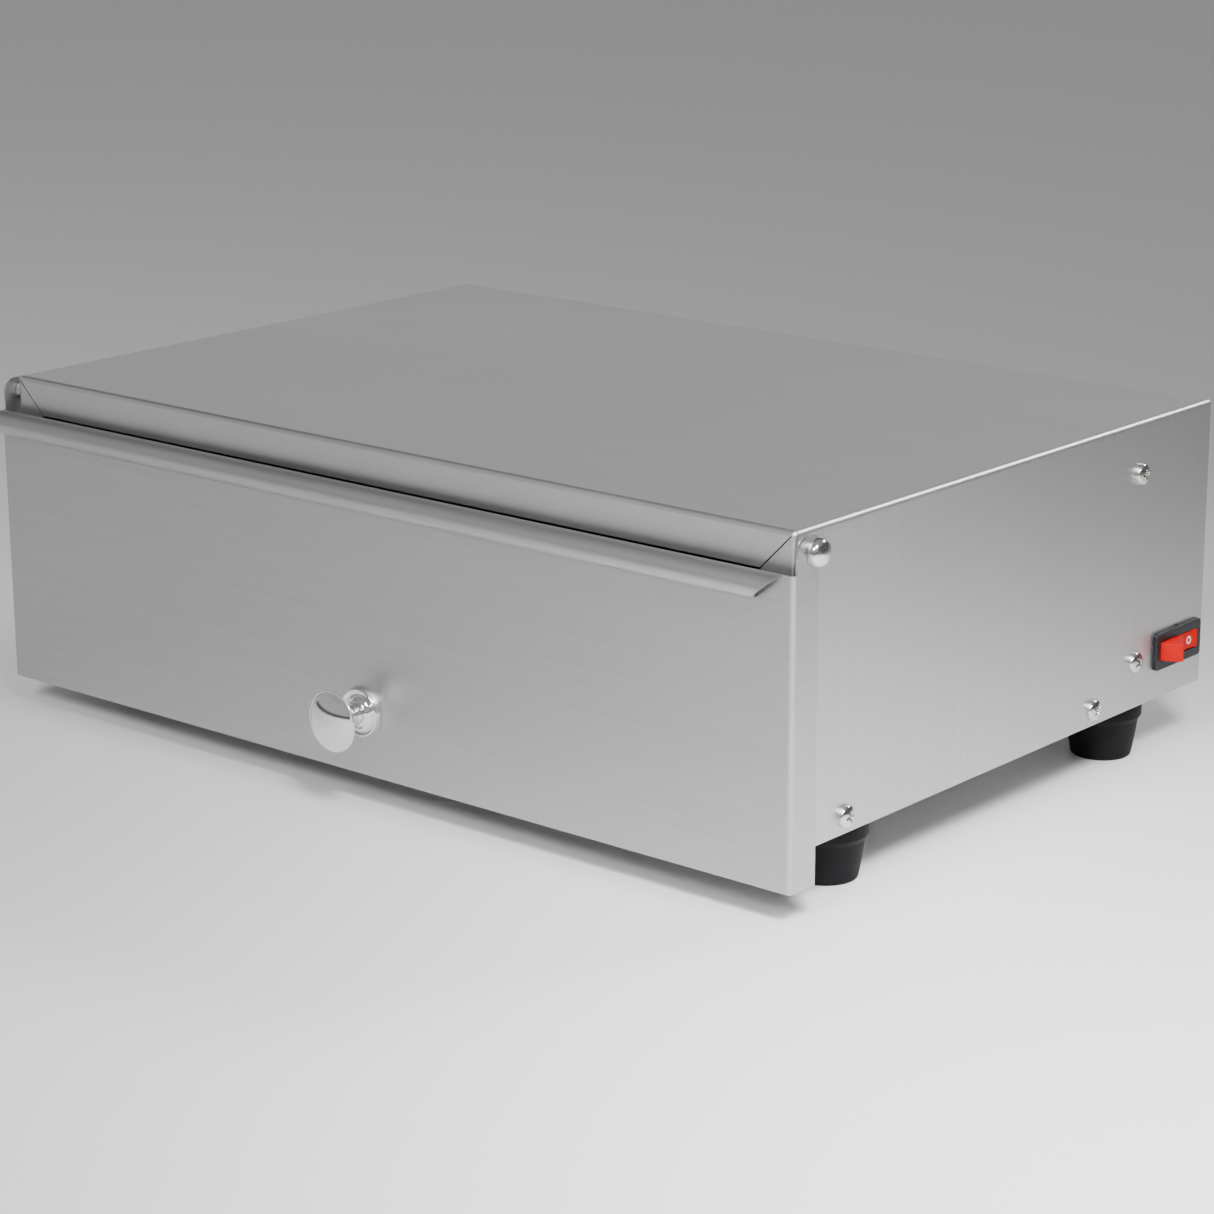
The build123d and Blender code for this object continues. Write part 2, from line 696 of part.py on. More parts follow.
# ---- power switch ----
def switch_housing():
    """Bezel and box of the switch, hollow on a cylinder about the rocker's axis."""
    bezel = block(side_x, side_x + bezel_thickness,
                  switch_at_y - bezel_length / 2, switch_at_y + bezel_length / 2,
                  switch_z - bezel_height / 2, switch_z + bezel_height / 2)
    bezel = fillet(bezel.edges().filter_by(Axis.X), bezel_corner)
    bezel = fillet(bezel.faces().sort_by(Axis.X)[-1].edges(), bezel_edge_round)
    nub_z = switch_z + bezel_height / 2
    bezel += block(side_x, side_x + bezel_thickness / 2, switch_at_y - bezel_nub / 2,
                   switch_at_y + bezel_nub / 2, nub_z - bezel_nub, nub_z + bezel_nub / 2)
    box = block(side_x - housing_depth, side_x + bezel_thickness / 2,
                switch_at_y - housing_length / 2, switch_at_y + housing_length / 2,
                switch_z - housing_height / 2, switch_z + housing_height / 2)
    hollow = rocker_width / 2 + rocker_clearance
    cavity = rod(rocker_radius + rocker_clearance, 2 * hollow,
                 (rocker_axis_x, switch_at_y, switch_z - hollow), (0, 0, 1))
    keep = block(side_x - housing_depth + housing_floor, side_x + 2 * rocker_radius,
                 switch_at_y - housing_length, switch_at_y + housing_length, floor_z, top_z)
    pin_hole = rocker_pin_span + 2 * rocker_pin_clearance
    pin = rod(rocker_pin_radius + rocker_pin_clearance, pin_hole,
              (rocker_axis_x, switch_at_y, switch_z - pin_hole / 2), (0, 0, 1))
    return bezel + box - (cavity & keep) - pin


def rocker_outline():
    """Plan outline of the level rocker: X out of the panel, Y along it."""
    def tip(angle, side):
        turn = math.radians(angle)
        return (rocker_radius * math.sin(turn), side * rocker_radius * math.cos(turn))

    front_tip = tip(rocker_tip_angle, -1)
    rear_tip = tip(rocker_tip_angle, 1)
    front_foot = tip(-rocker_skirt_angle, -1)
    rear_foot = tip(-rocker_skirt_angle, 1)
    face = ThreePointArc(front_tip, (rocker_valley, 0), rear_tip)
    rear_end = ThreePointArc(rear_tip, (0, rocker_radius), rear_foot)
    base = Line(rear_foot, front_foot)
    front_end = ThreePointArc(front_foot, (0, -rocker_radius), front_tip)
    return make_face([face, rear_end, base, front_end])


def switch_rocker():
    """Rocker on two pins, shown with its rear end pressed in."""
    body = Pos(0, 0, -rocker_width / 2) * extrude(rocker_outline(), rocker_width)
    body += Cylinder(rocker_pin_radius, rocker_pin_span)
    return Pos(rocker_axis_x, switch_at_y, switch_z) * Rot(0, 0, rocker_tilt) * body


def switch_blades():
    """Three terminal blades on the back of the switch."""
    back = side_x - housing_depth
    blades = [
        block(back - blade_length, back, y - blade_width / 2, y + blade_width / 2,
              switch_z - blade_thickness / 2, switch_z + blade_thickness / 2)
        for y in (switch_at_y - switch_blade_pitch, switch_at_y, switch_at_y + switch_blade_pitch)
    ]
    return Compound(children=blades)


# ---- door ----
def door_panel():
    """Door sheet: flanges outside the side walls, pivot ears and a rolled lip."""
    ear_top = top_z - ear_drop
    flange_back = face_y + door_flange
    blank = block(-door_x, door_x, face_y, flange_back, door_bottom, ear_top)
    folds = blank.edges().filter_by(Axis.Z).sort_by(Axis.Y)[:2]
    blank = fillet(folds, bend_radius)
    inside = block(-ear_x, ear_x, face_y + sheet, flange_back + 1, door_bottom - 1, ear_top + 1)
    inner_folds = inside.edges().filter_by(Axis.Z).sort_by(Axis.Y)[:2]
    panel = blank - fillet(inner_folds, bend_radius - sheet)
    panel -= block(-door_x - 1, door_x + 1, face_y - 1, face_y + bend_radius, door_top, ear_top + 1)
    for side in (-1, 1):
        panel -= ear_trim(side, face_y + bend_radius, ear_front_radius, 1)
        panel -= ear_trim(side, flange_back, ear_rear_radius, -1)
    panel += rolled_lip()
    panel -= rod(pivot_radius + pivot_running_clearance, 2 * door_x + 2,
                 (-door_x - 1, pivot_at_y, pivot_z), (1, 0, 0))
    panel -= rod(knob_screw_radius + screw_hole_clearance, 4 * sheet, (0, face_y - sheet, knob_z), (0, 1, 0))
    return panel


def ear_trim(side, edge_y, radius, inward):
    """What a rounded corner takes off the top of an ear; inward is +1 or -1 along Y."""
    ear_top = top_z - ear_drop
    corner = block(side * (ear_x - 1), side * (door_x + 1), edge_y - inward, edge_y + inward * radius,
                   ear_top - radius, ear_top + 1)
    round_part = rod(radius, sheet + 4, (side * (ear_x - 2), edge_y + inward * radius, ear_top - radius),
                     (side, 0, 0))
    return corner - round_part


def rolled_lip():
    """Finger lip: the sheet's top edge rolled forward and down, its right end cut at a slant."""
    centre_z = door_top - lip_radius
    left = lip_left_inset - door_x
    right = door_x - lip_right_inset
    roll = ring(lip_radius, lip_radius - sheet, right - left, (left, face_y, centre_z), (1, 0, 0))
    roll -= block(-door_x, door_x, face_y, face_y + 2 * lip_radius, centre_z - 2 * lip_radius, door_top + 1)
    roll -= block(-door_x, door_x, face_y - lip_gap, face_y + 1, centre_z - 2 * lip_radius, centre_z)
    slope = math.degrees(math.atan2(lip_right_taper, 2 * lip_radius))
    wedge_size = 4 * lip_right_taper
    wedge = Pos(wedge_size / 2, 0, 0) * Box(wedge_size, 4 * lip_radius, 2 * wedge_size)
    return roll - Pos(right, face_y, door_top) * Rot(0, slope, 0) * wedge


def door_bumper():
    """Soft pad inside the door that meets the cabinet's right front return."""
    x = side_x - front_return / 2
    z = bottom_z + bumper_above_edge
    length = door_reach - sheet - bumper_gap
    return rod(bumper_radius, length, (x, face_y + sheet, z), (0, 1, 0))


# ---- knob ----
def knob_rosette():
    """Stepped base of the knob, against the door."""
    base = rod(rosette_radius, rosette_thickness / 2, (0, face_y, knob_z), (0, -1, 0))
    top = place(Pos(0, 0, 3 * rosette_thickness / 4) *
                Cone(rosette_step_radius, rosette_top_radius, rosette_thickness / 2),
                (0, face_y, knob_z), (0, -1, 0))
    hole = rod(knob_screw_radius + fit_clearance, 2 * rosette_thickness,
               (0, face_y + 1, knob_z), (0, -1, 0))
    return base + top - hole


def knob_head():
    """Mushroom knob: a neck that flares into a thin domed head."""
    start = rosette_thickness
    head_start = knob_reach - knob_head_thickness
    rim = knob_reach - knob_dome_height
    neck_end = start + (head_start - start) / 4
    under_rim = (knob_under_rim_radius, rim - knob_rim_step)
    shoulder = (knob_shoulder_radius, rim + knob_rim_step)
    neck = Polyline((0, start), (knob_neck_radius, start), (knob_neck_radius, neck_end))
    flare = ThreePointArc((knob_neck_radius, neck_end),
                          (knob_flare_radius, (neck_end + 2 * head_start) / 3), under_rim)
    edge = ThreePointArc(under_rim, (knob_head_radius, rim), shoulder)
    dome = TangentArc((0, knob_reach), shoulder, tangent=(1, 0))
    axis_line = Line((0, knob_reach), (0, start))
    outline = make_face([neck, flare, edge, dome, axis_line])
    body = revolve(Plane.XZ * outline, axis=Axis.Z)
    body -= rod(knob_screw_radius + fit_clearance, knob_screw_depth, (0, 0, start - 1), (0, 0, 1))
    return place(body, (0, face_y, knob_z), (0, -1, 0))


def knob_screw():
    """Screw from inside the door into the knob."""
    seat = face_y + sheet + knob_washer_thickness
    length = seat - face_y + rosette_thickness + knob_screw_depth - knob_screw_end_gap
    return pan_screw((0, seat, knob_z), (0, 1, 0), knob_screw_head_radius, knob_screw_head_height,
                     knob_screw_radius, length)


def knob_washer():
    """Washer under the knob screw's head."""
    return ring(knob_washer_radius, knob_screw_radius + screw_hole_clearance, knob_washer_thickness,
                (0, face_y + sheet, knob_z), (0, 1, 0))


# ---- every node of the cabinet ----
nodes = {
    "cover_shell": cover_shell(),
    "base_pan": base_pan(),
    "divider": divider(),
    "rear_panel": rear_panel(),
    "deck": deck(),
    "heating_element": heating_element(),
    "element_bushing_left": element_bushing(-element_leg_x),
    "element_bushing_right": element_bushing(element_leg_x),
    "element_support_left": element_support(-element_leg_x),
    "element_support_right": element_support(element_leg_x),
    "thermostat": thermostat(),
    "terminal_block": terminal_block(),
    "terminal_screws": terminal_screws(),
    "earth_stud": earth_stud(),
    "earth_nut": earth_nut(),
    "cable_gland": cable_gland(),
    "gland_nut": gland_nut(),
    "foot_screws": foot_screws(),
    "foot_washers": foot_washers(),
    "foot_nuts": foot_nuts(),
    "side_screws_right": side_screws(),
    "side_screws_left": mirrored(side_screws()),
    "rear_panel_screws": rear_panel_screws(),
    "pivot_screw_right": pivot_screw(),
    "pivot_screw_left": mirrored(pivot_screw()),
    "pivot_washer_right": pivot_washer(),
    "pivot_washer_left": mirrored(pivot_washer()),
    "pivot_spacer_right": pivot_spacer(),
    "pivot_spacer_left": mirrored(pivot_spacer()),
    "pivot_nut_right": pivot_nut(),
    "pivot_nut_left": mirrored(pivot_nut()),
    "switch_housing": switch_housing(),
    "switch_rocker": switch_rocker(),
    "switch_blades": switch_blades(),
    "door_panel": door_panel(),
    "door_bumper_right": door_bumper(),
    "door_bumper_left": mirrored(door_bumper()),
    "knob_rosette": knob_rosette(),
    "knob_head": knob_head(),
    "knob_screw": knob_screw(),
    "knob_washer": knob_washer(),
}
nodes.update(wires())
nodes.update({f"foot_{name}": foot(x, y) for name, (x, y) in foot_places.items()})

os.makedirs("parts", exist_ok=True)
for name, shape in nodes.items():
    export_step(shape, f"parts/{name}.step")
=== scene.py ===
import json
import math

import bmesh
import bpy
from mathutils import Matrix, Vector


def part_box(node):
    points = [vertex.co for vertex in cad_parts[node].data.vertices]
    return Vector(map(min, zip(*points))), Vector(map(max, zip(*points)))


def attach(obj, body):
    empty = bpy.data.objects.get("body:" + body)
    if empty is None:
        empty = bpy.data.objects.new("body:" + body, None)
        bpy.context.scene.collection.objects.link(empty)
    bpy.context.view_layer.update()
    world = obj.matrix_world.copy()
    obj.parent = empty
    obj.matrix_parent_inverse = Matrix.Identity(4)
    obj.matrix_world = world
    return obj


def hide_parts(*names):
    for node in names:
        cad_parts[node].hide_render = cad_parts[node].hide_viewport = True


# Warming cabinet of brushed stainless steel with a flip-up door, in metres.
# X runs to the right, Y to the back, Z up; the feet stand on Z = 0.

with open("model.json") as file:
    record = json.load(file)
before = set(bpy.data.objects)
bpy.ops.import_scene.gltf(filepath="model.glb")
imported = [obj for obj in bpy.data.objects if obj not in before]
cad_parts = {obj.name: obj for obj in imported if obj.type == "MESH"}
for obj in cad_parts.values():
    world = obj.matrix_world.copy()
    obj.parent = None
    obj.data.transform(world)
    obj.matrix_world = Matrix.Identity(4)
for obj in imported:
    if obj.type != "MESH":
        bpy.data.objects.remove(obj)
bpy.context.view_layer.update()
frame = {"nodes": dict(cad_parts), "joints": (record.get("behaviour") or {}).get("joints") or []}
joints = {joint["name"]: joint for joint in frame["joints"]}
MM = 0.001


# ---- node helpers ----
def nodes_of(tree):
    """Two short calls for a node tree: one adds a node, one joins two sockets."""
    def add(kind, **settings):
        node = tree.nodes.new(kind)
        for name, value in settings.items():
            setattr(node, name, value)
        return node

    def join(source, target):
        tree.links.new(source, target)

    return add, join


def set_inputs(node, **values):
    """Set a node's inputs by name; an underscore stands for a space."""
    for name, value in values.items():
        node.inputs[name.replace("_", " ")].default_value = value


def new_group(name, inputs, outputs):
    """Shader node group with named sockets; returns the group, its two ends and the helpers."""
    group = bpy.data.node_groups.new(name, "ShaderNodeTree")
    for label, kind, value in inputs:
        socket = group.interface.new_socket(label, in_out="INPUT", socket_type=kind)
        if value is not None:
            socket.default_value = value
    for label, kind in outputs:
        group.interface.new_socket(label, in_out="OUTPUT", socket_type=kind)
    add, join = nodes_of(group)
    return group, add("NodeGroupInput"), add("NodeGroupOutput"), add, join


def maths(add, join, operation, *values):
    """Math node on sockets or numbers; returns its value socket."""
    node = add("ShaderNodeMath", operation=operation)
    for slot, value in enumerate(values):
        if isinstance(value, (int, float)):
            node.inputs[slot].default_value = value
        else:
            join(value, node.inputs[slot])
    return node.outputs["Value"]


# ---- shared effects ----
def grain_group():
    """Brushed grain: fine lines along a sheet, with broad cloudy patches over them."""
    group, ends_in, ends_out, add, join = new_group(
        "brushed grain",
        [("Vector", "NodeSocketVector", None), ("Fineness", "NodeSocketFloat", 1.0),
         ("Cloud Size", "NodeSocketFloat", 6.0)],
        [("Lines", "NodeSocketFloat"), ("Clouds", "NodeSocketFloat")])
    lines = add("ShaderNodeTexNoise", noise_dimensions="3D")
    set_inputs(lines, Detail=4.0, Roughness=0.6)
    join(ends_in.outputs["Vector"], lines.inputs["Vector"])
    join(ends_in.outputs["Fineness"], lines.inputs["Scale"])
    place = add("ShaderNodeTexCoord")
    clouds = add("ShaderNodeTexNoise", noise_dimensions="3D")
    set_inputs(clouds, Detail=3.0, Roughness=0.5)
    join(place.outputs["Object"], clouds.inputs["Vector"])
    join(ends_in.outputs["Cloud Size"], clouds.inputs["Scale"])
    join(lines.outputs["Fac"], ends_out.inputs["Lines"])
    join(clouds.outputs["Fac"], ends_out.inputs["Clouds"])
    return group


def speckle_group():
    """Fine pits and dust: small bumps and a mask of pale specks."""
    group, ends_in, ends_out, add, join = new_group(
        "speckle",
        [("Scale", "NodeSocketFloat", 400.0), ("Dust", "NodeSocketFloat", 0.2)],
        [("Height", "NodeSocketFloat"), ("Dust", "NodeSocketFloat")])
    place = add("ShaderNodeTexCoord")
    pits = add("ShaderNodeTexNoise", noise_dimensions="3D")
    set_inputs(pits, Detail=5.0, Roughness=0.65)
    join(place.outputs["Object"], pits.inputs["Vector"])
    join(ends_in.outputs["Scale"], pits.inputs["Scale"])
    drift = add("ShaderNodeTexNoise", noise_dimensions="3D")
    set_inputs(drift, Scale=30.0, Detail=2.0)
    join(place.outputs["Object"], drift.inputs["Vector"])
    edge = add("ShaderNodeMapRange")
    set_inputs(edge, From_Min=0.45, From_Max=0.75)
    join(drift.outputs["Fac"], edge.inputs["Value"])
    dust = maths(add, join, "MULTIPLY", edge.outputs["Result"], ends_in.outputs["Dust"])
    join(pits.outputs["Fac"], ends_out.inputs["Height"])
    join(dust, ends_out.inputs["Dust"])
    return group


GRAIN = grain_group()
SPECKLE = speckle_group()


# ---- materials ----
def new_material(name):
    """Material with one Principled shader; returns it, the shader and the helpers."""
    material = bpy.data.materials.new(name)
    material.use_nodes = True
    tree = material.node_tree
    tree.nodes.clear()
    add, join = nodes_of(tree)
    shader = add("ShaderNodeBsdfPrincipled")
    output = add("ShaderNodeOutputMaterial")
    join(shader.outputs["BSDF"], output.inputs["Surface"])
    return material, shader, add, join


def ramp(add, join, value, low, high):
    """Map a 0 to 1 value onto a range of numbers."""
    node = add("ShaderNodeMapRange")
    set_inputs(node, To_Min=low, To_Max=high)
    join(value, node.inputs["Value"])
    return node.outputs["Result"]


def tint(add, join, value, dark, pale):
    """Blend two colours by a 0 to 1 value."""
    node = add("ShaderNodeMix", data_type="RGBA")
    node.inputs["A"].default_value = (*dark, 1)
    node.inputs["B"].default_value = (*pale, 1)
    join(value, node.inputs["Factor"])
    return node.outputs["Result"]


def brushed_steel(name, across, dark, pale, rough):
    """Brushed sheet; across is the axis that the grain lines lie across."""
    material, shader, add, join = new_material(name)
    set_inputs(shader, Metallic=1.0)
    place = add("ShaderNodeTexCoord")
    stretch = add("ShaderNodeMapping")
    fine, slow = 900.0, 9.0
    stretch.inputs["Scale"].default_value = [fine if axis == across else slow for axis in "XYZ"]
    join(place.outputs["Object"], stretch.inputs["Vector"])
    grain = add("ShaderNodeGroup", node_tree=GRAIN)
    set_inputs(grain, Fineness=1.0, Cloud_Size=7.0)
    join(stretch.outputs["Vector"], grain.inputs["Vector"])
    mixed = maths(add, join, "MULTIPLY_ADD", grain.outputs["Lines"], 0.7, 0.15)
    join(tint(add, join, mixed, dark, pale), shader.inputs["Base Color"])
    cloud_part = maths(add, join, "MULTIPLY", grain.outputs["Clouds"], 0.5)
    line_part = maths(add, join, "MULTIPLY", grain.outputs["Lines"], 0.5)
    both = maths(add, join, "ADD", cloud_part, line_part)
    join(ramp(add, join, both, rough - 0.07, rough + 0.09), shader.inputs["Roughness"])
    bump = add("ShaderNodeBump")
    set_inputs(bump, Strength=0.12, Distance=0.00006)
    join(grain.outputs["Lines"], bump.inputs["Height"])
    join(bump.outputs["Normal"], shader.inputs["Normal"])
    return material


def polished_metal(name, dark, pale, rough, smear):
    """Bright plated or polished metal with faint smears."""
    material, shader, add, join = new_material(name)
    set_inputs(shader, Metallic=1.0)
    speckle = add("ShaderNodeGroup", node_tree=SPECKLE)
    set_inputs(speckle, Scale=900.0, Dust=smear)
    join(tint(add, join, speckle.outputs["Dust"], pale, dark), shader.inputs["Base Color"])
    join(ramp(add, join, speckle.outputs["Height"], rough, rough + smear), shader.inputs["Roughness"])
    bump = add("ShaderNodeBump")
    set_inputs(bump, Strength=0.04, Distance=0.00005)
    join(speckle.outputs["Height"], bump.inputs["Height"])
    join(bump.outputs["Normal"], shader.inputs["Normal"])
    return material


def moulded(name, colour, dusty, rough, coat, pits, shine=0.5):
    """Moulded plastic or rubber: fine pits, a little dust, and an even coat where it is glossy."""
    material, shader, add, join = new_material(name)
    set_inputs(shader, Coat_Weight=coat, Coat_Roughness=0.08, Specular_IOR_Level=shine)
    speckle = add("ShaderNodeGroup", node_tree=SPECKLE)
    set_inputs(speckle, Scale=1400.0, Dust=0.35)
    join(tint(add, join, speckle.outputs["Dust"], colour, dusty), shader.inputs["Base Color"])
    join(ramp(add, join, speckle.outputs["Height"], rough - 0.06, rough + 0.08),
         shader.inputs["Roughness"])
    bump = add("ShaderNodeBump")
    set_inputs(bump, Strength=pits, Distance=0.0001)
    join(speckle.outputs["Height"], bump.inputs["Height"])
    join(bump.outputs["Normal"], shader.inputs["Normal"])
    return material


STEEL_DARK, STEEL_PALE = (0.46, 0.46, 0.46), (0.64, 0.64, 0.64)
# The door's steel is the cover's steel made about 12% darker: this darker tone is painted shade on the
# door, not a different finish.
DOOR_SHADED_DARK, DOOR_SHADED_PALE = (0.40, 0.40, 0.40), (0.56, 0.56, 0.56)
COVER_STEEL = brushed_steel("cover steel, grain round the folds", "Y", STEEL_DARK, STEEL_PALE, 0.42)
DOOR_STEEL = brushed_steel("door steel, level grain", "Z", DOOR_SHADED_DARK, DOOR_SHADED_PALE, 0.40)
INNER_STEEL = brushed_steel("inner steel, upright grain", "X", STEEL_DARK, STEEL_PALE, 0.38)
SCREW_STEEL = polished_metal("screw steel", (0.36, 0.35, 0.33), (0.66, 0.65, 0.63), 0.10, 0.10)
CHROME = polished_metal("knob chrome", (0.62, 0.62, 0.63), (0.86, 0.86, 0.86), 0.04, 0.05)
SHEATH = polished_metal("heated sheath", (0.10, 0.085, 0.075), (0.30, 0.27, 0.24), 0.38, 0.15)
BRASS = polished_metal("terminal brass", (0.48, 0.33, 0.12), (0.72, 0.56, 0.28), 0.25, 0.12)
RUBBER = moulded("foot rubber", (0.005, 0.005, 0.006), (0.012, 0.012, 0.012), 0.6, 0.0, 0.25, 0.14)
BLACK_PLASTIC = moulded("switch plastic", (0.010, 0.011, 0.013), (0.022, 0.022, 0.024), 0.38, 0.06, 0.12,
                        0.25)
PALE_PLASTIC = moulded("terminal plastic", (0.62, 0.60, 0.54), (0.50, 0.48, 0.43), 0.45, 0.05, 0.15)
RED_PLASTIC = moulded("rocker plastic", (0.46, 0.002, 0.002), (0.42, 0.004, 0.004), 0.42, 0.03, 0.05,
                      0.05)
MARK_PAINT = moulded("mark paint", (0.85, 0.80, 0.78), (0.75, 0.70, 0.68), 0.4, 0.1, 0.05)
BROWN_WIRE = moulded("brown insulation", (0.13, 0.05, 0.022), (0.17, 0.08, 0.045), 0.42, 0.1, 0.1)
BLUE_WIRE = moulded("blue insulation", (0.02, 0.09, 0.38), (0.05, 0.12, 0.38), 0.42, 0.1, 0.1)
GREEN_WIRE = moulded("green insulation", (0.18, 0.36, 0.03), (0.22, 0.38, 0.07), 0.42, 0.1, 0.1)


# ---- finishes of the carried-over nodes ----
FINISHES = {
    COVER_STEEL: ("cover_shell", "base_pan", "deck"),
    DOOR_STEEL: ("door_panel", "rear_panel"),
    INNER_STEEL: ("divider",),
    SCREW_STEEL: (
        "pivot_washer_right", "pivot_washer_left", "pivot_spacer_right", "pivot_spacer_left",
        "pivot_nut_right", "pivot_nut_left", "foot_screws", "foot_washers", "foot_nuts",
        "knob_screw", "knob_washer", "element_support_left", "element_support_right"),
    SHEATH: ("heating_element",),
    BRASS: (
        "element_bushing_left", "element_bushing_right", "terminal_screws", "earth_stud", "earth_nut",
        "switch_blades"),
    RUBBER: ("door_bumper_right", "door_bumper_left"),
    BLACK_PLASTIC: ("switch_housing", "cable_gland", "gland_nut", "thermostat"),
    PALE_PLASTIC: ("terminal_block",),
    BROWN_WIRE: ("wire_live", "wire_switched", "wire_heater_live"),
    BLUE_WIRE: ("wire_heater_neutral",),
    GREEN_WIRE: ("wire_earth",),
}


def finish_cad_nodes():
    """Give every carried-over node its material, in its own slots."""
    for material, names in FINISHES.items():
        for name in names:
            for holder in frame["nodes"][name].material_slots:
                holder.material = material


# ---- making pieces ----
def arc(centre, radius, first, last, steps):
    """Points of a round stretch of an outline, by angles in degrees."""
    points = []
    for step in range(steps + 1):
        angle = math.radians(first + (last - first) * step / steps)
        points.append((centre[0] + radius * math.cos(angle), centre[1] + radius * math.sin(angle)))
    return points


def stand_on(bm, verts, at, direction):
    """Turn points that were made along +Z to a direction, and move them to a place."""
    turn = Vector((0, 0, 1)).rotation_difference(Vector(direction)).to_matrix().to_4x4()
    bmesh.ops.transform(bm, matrix=Matrix.Translation(at) @ turn, verts=verts)


def turned(bm, outline, at, direction, segments=96):
    """Spin an outline of (radius, height) points in mm into a closed body."""
    verts = [bm.verts.new((radius * MM, 0, height * MM)) for radius, height in outline]
    edges = [bm.edges.new(pair) for pair in zip(verts, verts[1:])]
    before = set(bm.verts) - set(verts)
    bmesh.ops.spin(bm, geom=verts + edges, cent=(0, 0, 0), axis=(0, 0, 1), angle=math.tau,
                   steps=segments, use_merge=True)
    stand_on(bm, [vert for vert in bm.verts if vert not in before], at, direction)


def make_piece(bm, name, material, body, replaced=(), sharp=32.0):
    """Close a bmesh into a smooth-shaded piece that rides on a body."""
    bmesh.ops.remove_doubles(bm, verts=bm.verts, dist=0.002 * MM)
    bmesh.ops.recalc_face_normals(bm, faces=bm.faces)
    limit = math.radians(sharp)
    for face in bm.faces:
        face.smooth = True
    for edge in bm.edges:
        edge.smooth = edge.calc_face_angle(0) < limit
    mesh = bpy.data.meshes.new(name)
    bm.to_mesh(mesh)
    bm.free()
    mesh.materials.append(material)
    piece = bpy.data.objects.new(name, mesh)
    bpy.context.scene.collection.objects.link(piece)
    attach(piece, body)
    if replaced:
        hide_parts(*replaced)
    return piece


# ---- screws ----
COLUMNS = 12        # points around a quarter of a screw


def recess_angles(radius, floor_half, mouth_half):
    """Angles around one quarter: an arm's floor, its sloped wall, the land, and the next arm."""
    floor_angle = math.asin(min(floor_half / radius, math.sqrt(0.5)))
    mouth_angle = math.asin(min(mouth_half / radius, math.sqrt(0.5)))
    land = COLUMNS - 4
    angles = [0.0, floor_angle, mouth_angle]
    span = math.pi / 2 - 2 * mouth_angle
    angles += [mouth_angle + span * step / land for step in range(1, land)]
    return angles + [math.pi / 2 - mouth_angle, math.pi / 2 - floor_angle]


def cross_screw(bm, at, direction, head_radius, head_height, shank_radius, length, turn):
    """Pan head screw with a tapered cross recess; lengths in mm, turn in degrees."""
    floor_half, mouth_half = 0.07 * head_radius, 0.15 * head_radius
    floor_reach, mouth_reach = 0.34 * head_radius, 0.52 * head_radius
    floor_height = 0.35 * head_height
    bulge = 0.16 * head_height
    edge = 0.62 * head_height

    def crown(radius):
        """Height of the head's gently domed top."""
        return head_height - bulge * (radius / (0.62 * head_radius)) ** 2

    inner = (1.5 * mouth_half, 0.9 * floor_reach, floor_reach)
    rings = [(radius, crown(radius), floor_height) for radius in inner]
    land = (mouth_reach, 0.58 * head_radius, 0.66 * head_radius)
    rings += [(radius, crown(radius), crown(radius)) for radius in land]
    round_radius, round_from, base = 0.26 * head_radius, head_radius * 0.74, edge * 0.55
    scale = (crown(round_from) - base) / round_radius
    for radius, height in arc((round_from, base), round_radius, 60, 4, 7):
        level = base + (height - base) * scale
        rings.append((radius, level, level))
    tail = [(head_radius * 0.995, 0.1), (head_radius * 0.97, 0.0), (shank_radius, 0.0),
            (shank_radius, 0.5 - length), (0.7 * shank_radius, -length)]
    rings += [(radius, height, height) for radius, height in tail]

    rows, poles = [], []
    for radius, land_height, arm_height in rings:
        quarter = recess_angles(radius, floor_half, mouth_half)
        row = []
        for quarter_turn in range(4):
            for column, angle in enumerate(quarter):
                whole = angle + quarter_turn * math.pi / 2
                height = arm_height if column in (0, 1, COLUMNS - 1) else land_height
                row.append(bm.verts.new((radius * math.cos(whole) * MM, radius * math.sin(whole) * MM,
                                         height * MM)))
        rows.append(row)
    count = len(rows[0])
    for lower, upper in zip(rows, rows[1:]):
        for i in range(count):
            bm.faces.new((lower[i], upper[i], upper[(i + 1) % count], lower[(i + 1) % count]))
    for row, height in ((rows[0], floor_height - 0.15 * head_height), (rows[-1], -length)):
        pole = bm.verts.new((0, 0, height * MM))
        poles.append(pole)
        for i in range(count):
            bm.faces.new((pole, row[i], row[(i + 1) % count]))
    made = [vert for row in rows for vert in row] + poles
    bmesh.ops.rotate(bm, verts=made, cent=(0, 0, 0),
                     matrix=Matrix.Rotation(math.radians(turn), 3, "Z"))
    stand_on(bm, made, at, direction)


HEAD_RADIUS, HEAD_HEIGHT, SHANK_RADIUS, SCREW_LENGTH = 4.4, 3.1, 2.4, 9.0
SIDE_SCREWS = ((-101.2, 33.0, 12), (66.3, 33.0, 50), (96.8, 46.0, 28), (96.8, 125.3, 8))
WALL_X = 210.0


def build_side_screws():
    """Four pan head screws in each side wall."""
    for side, name in ((1, "right"), (-1, "left")):
        bm = bmesh.new()
        for y, z, turn in SIDE_SCREWS:
            cross_screw(bm, (side * WALL_X * MM, y * MM, z * MM), (side, 0, 0), HEAD_RADIUS, HEAD_HEIGHT,
                        SHANK_RADIUS, SCREW_LENGTH, turn)
        make_piece(bm, "screws_" + name, SCREW_STEEL, "cabinet",
                   ["side_screws_" + name])


def build_rear_screws():
    """Six screws of the rear panel, each turned a little differently."""
    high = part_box("rear_panel")[1]
    head_radius, head_height, shank_radius, length = 3.6, 2.2, 1.9, 7.0
    bm = bmesh.new()
    for row, z in enumerate((141.0, 38.0)):
        for column, x in enumerate((-204.0, 0.0, 204.0)):
            cross_screw(bm, (x * MM, high.y, z * MM), (0, 1, 0), head_radius, head_height,
                        shank_radius, length, 17 * column + 40 * row)
    make_piece(bm, "screws_rear", SCREW_STEEL, "cabinet", ["rear_panel_screws"])


